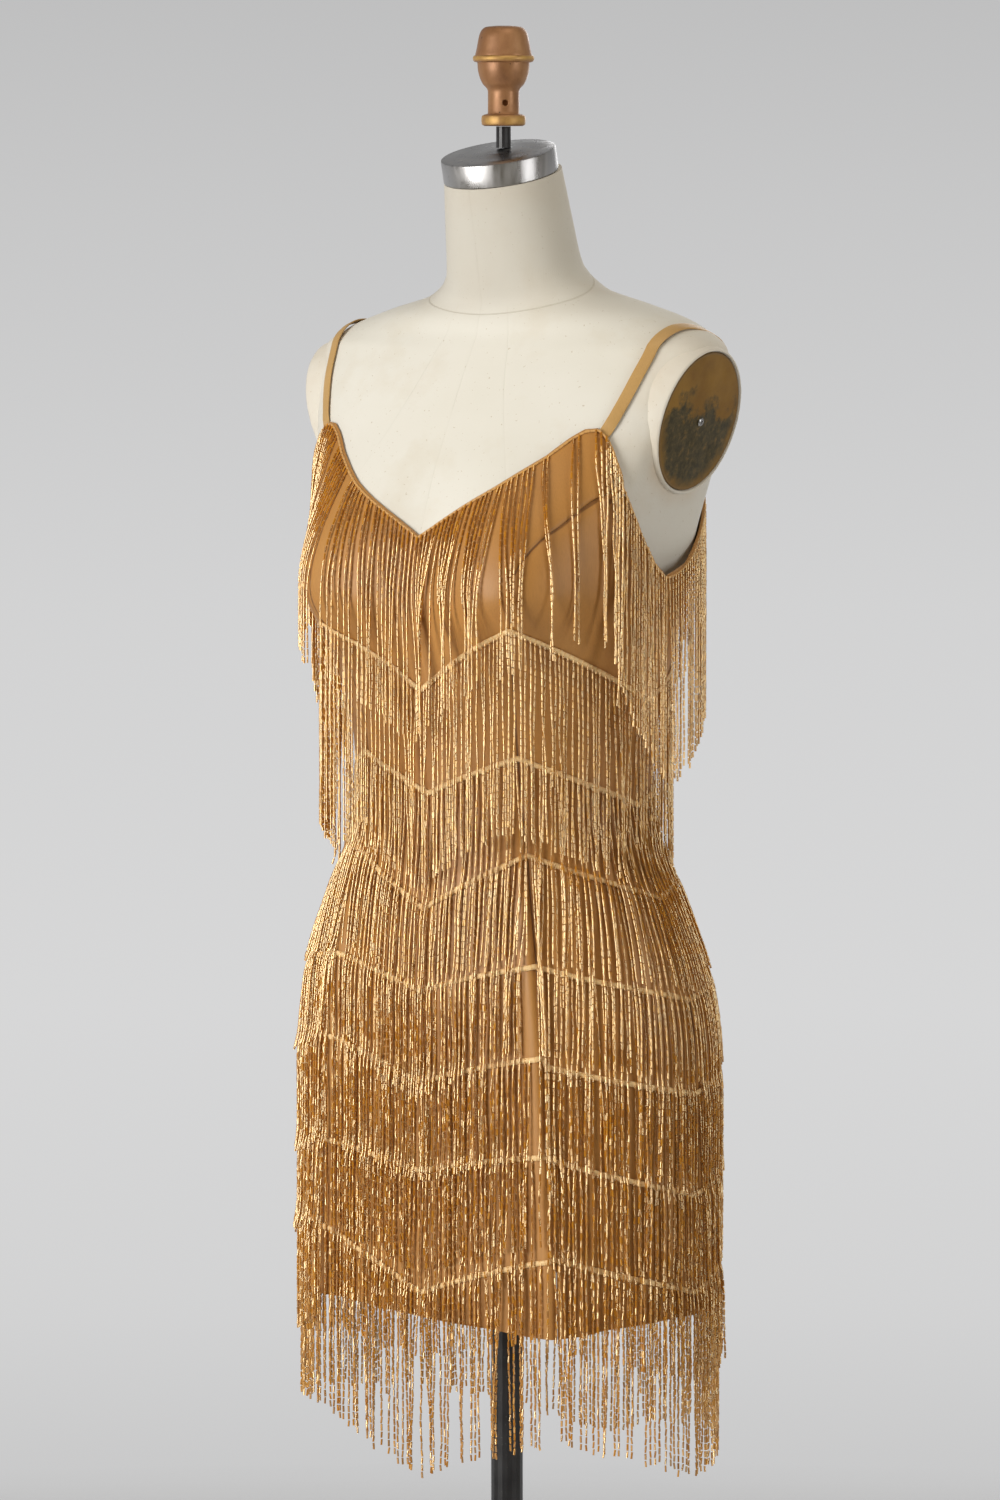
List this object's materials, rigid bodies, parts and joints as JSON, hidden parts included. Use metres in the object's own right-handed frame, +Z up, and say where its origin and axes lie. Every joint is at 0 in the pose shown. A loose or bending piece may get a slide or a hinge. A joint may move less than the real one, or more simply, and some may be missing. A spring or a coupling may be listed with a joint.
{
  "type": "fringe dress on a dress form",
  "caption": "Sleeveless V-neck dress hung with rounds of long bead fringe, on a limbless canvas dress form with a turned finial, a pole and a round base.",
  "frame": {"origin": "middle of the base's underside, on the floor", "axes": "+Z up along the pole; the form faces -Y and its own left side is +X"},
  "size_m": [0.42, 0.42, 1.6526],
  "materials": {
    "canvas": "matte cream canvas, lightly stained",
    "steel": "brushed",
    "black": "black enamel",
    "wood": "turned and stained, worn at its edges",
    "brass": "aged, with a dark patina",
    "cloth": "tan satin",
    "beads": "gold glass beads on thread"
  },
  "bodies": {
    "root": {"form_torso": "canvas", "neck_cap": "steel", "top_rod": "black", "finial": "wood", "arm_plate_left": "brass", "arm_plate_right": "brass", "arm_screw_left": "steel", "arm_screw_right": "steel", "pole": "black", "base": "black", "dress_front": "cloth", "dress_side_front_left": "cloth", "dress_side_front_right": "cloth", "dress_back_left": "cloth", "dress_back_right": "cloth", "strap_left": "cloth", "strap_right": "cloth", "fringe_edge": "beads", "fringe_row_1": "beads", "fringe_row_2": "beads", "fringe_row_3": "beads", "fringe_row_4": "beads", "fringe_row_5": "beads", "fringe_row_6": "beads", "fringe_row_7": "beads"}
  },
  "joints": []
}
